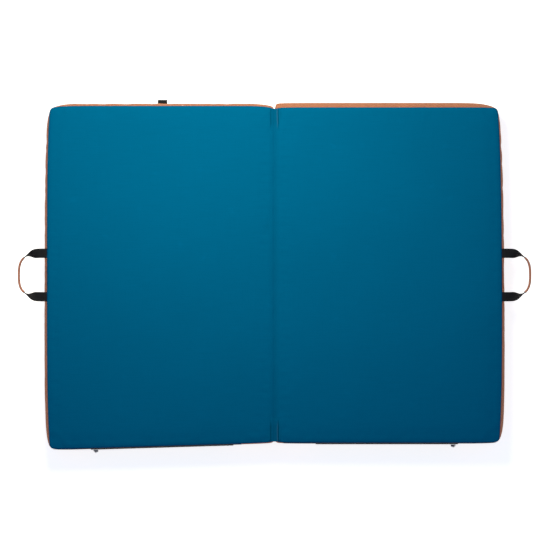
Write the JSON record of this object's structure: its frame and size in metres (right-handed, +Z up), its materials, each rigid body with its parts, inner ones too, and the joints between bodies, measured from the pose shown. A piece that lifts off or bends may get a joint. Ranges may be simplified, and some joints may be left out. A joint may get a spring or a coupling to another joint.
{
  "type": "bouldering crash pad",
  "caption": "Hinged foam landing pad for bouldering, lying open, with webbing carrying handles, closure straps and shoulder straps underneath.",
  "frame": {"origin": "on the ground under the middle of the open pad, below the hinge crease", "axes": "+X from the left half to the right half, +Y along the hinge crease to the back edge with the hang loop, +Z up from the ground to the landing face"},
  "size_m": [1.3784, 0.9486, 0.095],
  "materials": {
    "blue_fabric": "matte",
    "orange_fabric": "matte",
    "black_fabric": "matte",
    "black_webbing": "matte",
    "grip_fabric": "matte",
    "padding_mesh": "matte",
    "firm_foam": "matte",
    "soft_foam": "matte",
    "buckle_plastic": "satin",
    "zip_metal": "satin"
  },
  "bodies": {
    "right_half": {"right_top_cover": "blue_fabric", "right_gusset": "orange_fabric", "right_base_cover": "black_fabric", "right_firm_foam": "firm_foam", "right_soft_foam": "soft_foam", "right_zip_tape": "black_fabric", "right_zip_chain": "buckle_plastic", "right_handle_back_anchor": "black_webbing", "right_handle_front_anchor": "black_webbing", "hinge_panel": "blue_fabric", "back_socket_anchor": "black_fabric", "front_socket_anchor": "black_fabric"},
    "left_half": {"left_top_cover": "blue_fabric", "left_gusset": "orange_fabric", "left_base_cover": "black_fabric", "left_firm_foam": "firm_foam", "left_soft_foam": "soft_foam", "left_zip_tape": "black_fabric", "left_zip_chain": "buckle_plastic", "left_handle_back_anchor": "black_webbing", "left_handle_front_anchor": "black_webbing", "hang_loop": "black_webbing", "harness_yoke": "black_fabric", "inner_lower_webbing": "black_webbing", "inner_lower_anchor": "black_fabric", "outer_lower_webbing": "black_webbing", "outer_lower_anchor": "black_fabric", "back_closure_anchor": "black_fabric", "front_closure_anchor": "black_fabric"},
    "left_handle": {"left_handle_webbing": "black_webbing", "left_handle_grip": "grip_fabric"},
    "left_slider": {"left_zip_slider": "zip_metal"},
    "left_pull": {"left_zip_pull": "zip_metal"},
    "right_handle": {"right_handle_webbing": "black_webbing", "right_handle_grip": "grip_fabric"},
    "right_slider": {"right_zip_slider": "zip_metal"},
    "right_pull": {"right_zip_pull": "zip_metal"},
    "inner_strap": {"inner_shoulder_pad": "padding_mesh", "inner_ladder_lock": "buckle_plastic", "inner_strap_tab": "black_webbing"},
    "outer_strap": {"outer_shoulder_pad": "padding_mesh", "outer_ladder_lock": "buckle_plastic", "outer_strap_tab": "black_webbing"},
    "back_closure": {"back_closure_strap": "black_webbing", "back_buckle_tongue": "buckle_plastic"},
    "back_socket": {"back_socket_tab": "black_webbing", "back_buckle_socket": "buckle_plastic"},
    "front_closure": {"front_closure_strap": "black_webbing", "front_buckle_tongue": "buckle_plastic"},
    "front_socket": {"front_socket_tab": "black_webbing", "front_buckle_socket": "buckle_plastic"}
  },
  "joints": [
    {"name": "fold", "type": "hinge", "parent": "right_half", "child": "left_half", "pos_m": [0, 0, 0.0953], "axis": [0, 1, 0], "range_deg": [0, 180], "deforming": ["hinge_panel"]},
    {"name": "left_handle_swing", "type": "hinge", "parent": "left_half", "child": "left_handle", "pos_m": [-0.6161, 0, 0.0882], "axis": [0, 1, 0], "range_deg": [-57, 0]},
    {"name": "left_zip_slide", "type": "slide", "parent": "left_half", "child": "left_slider", "axis": [0.9995, 0.0302, 0], "range_m": [0, 0.35]},
    {"name": "left_pull_swing", "type": "hinge", "parent": "left_slider", "child": "left_pull", "pos_m": [-0.47875, -0.47404, 0.0475], "axis": [-1, 0, 0], "range_deg": [0, 150]},
    {"name": "right_handle_swing", "type": "hinge", "parent": "right_half", "child": "right_handle", "pos_m": [0.6161, 0, 0.0882], "axis": [0, -1, 0], "range_deg": [-57, 0]},
    {"name": "right_zip_slide", "type": "slide", "parent": "right_half", "child": "right_slider", "axis": [-1, 0, 0], "range_m": [0, 0.35]},
    {"name": "right_pull_swing", "type": "hinge", "parent": "right_slider", "child": "right_pull", "pos_m": [0.47875, -0.45969, 0.0475], "axis": [-1, 0, 0], "range_deg": [0, 150]},
    {"name": "inner_strap_lift", "type": "hinge", "parent": "left_half", "child": "inner_strap", "pos_m": [-0.25375, 0.285, 0.0099], "axis": [1, 0, 0], "range_deg": [0, 15], "deforming": ["inner_lower_webbing"]},
    {"name": "outer_strap_lift", "type": "hinge", "parent": "left_half", "child": "outer_strap", "pos_m": [-0.34975, 0.285, 0.0099], "axis": [1, 0, 0], "range_deg": [0, 15], "deforming": ["outer_lower_webbing"]},
    {"name": "back_closure_swing", "type": "hinge", "parent": "left_half", "child": "back_closure", "pos_m": [-0.4895, 0.335, 0.011], "axis": [0, 1, 0], "range_deg": [0, 150]},
    {"name": "back_socket_swing", "type": "hinge", "parent": "right_half", "child": "back_socket", "pos_m": [0.4895, 0.335, 0.011], "axis": [0, -1, 0], "range_deg": [0, 150]},
    {"name": "front_closure_swing", "type": "hinge", "parent": "left_half", "child": "front_closure", "pos_m": [-0.4895, -0.335, 0.011], "axis": [0, 1, 0], "range_deg": [0, 150]},
    {"name": "front_socket_swing", "type": "hinge", "parent": "right_half", "child": "front_socket", "pos_m": [0.4895, -0.335, 0.011], "axis": [0, -1, 0], "range_deg": [0, 150]}
  ]
}
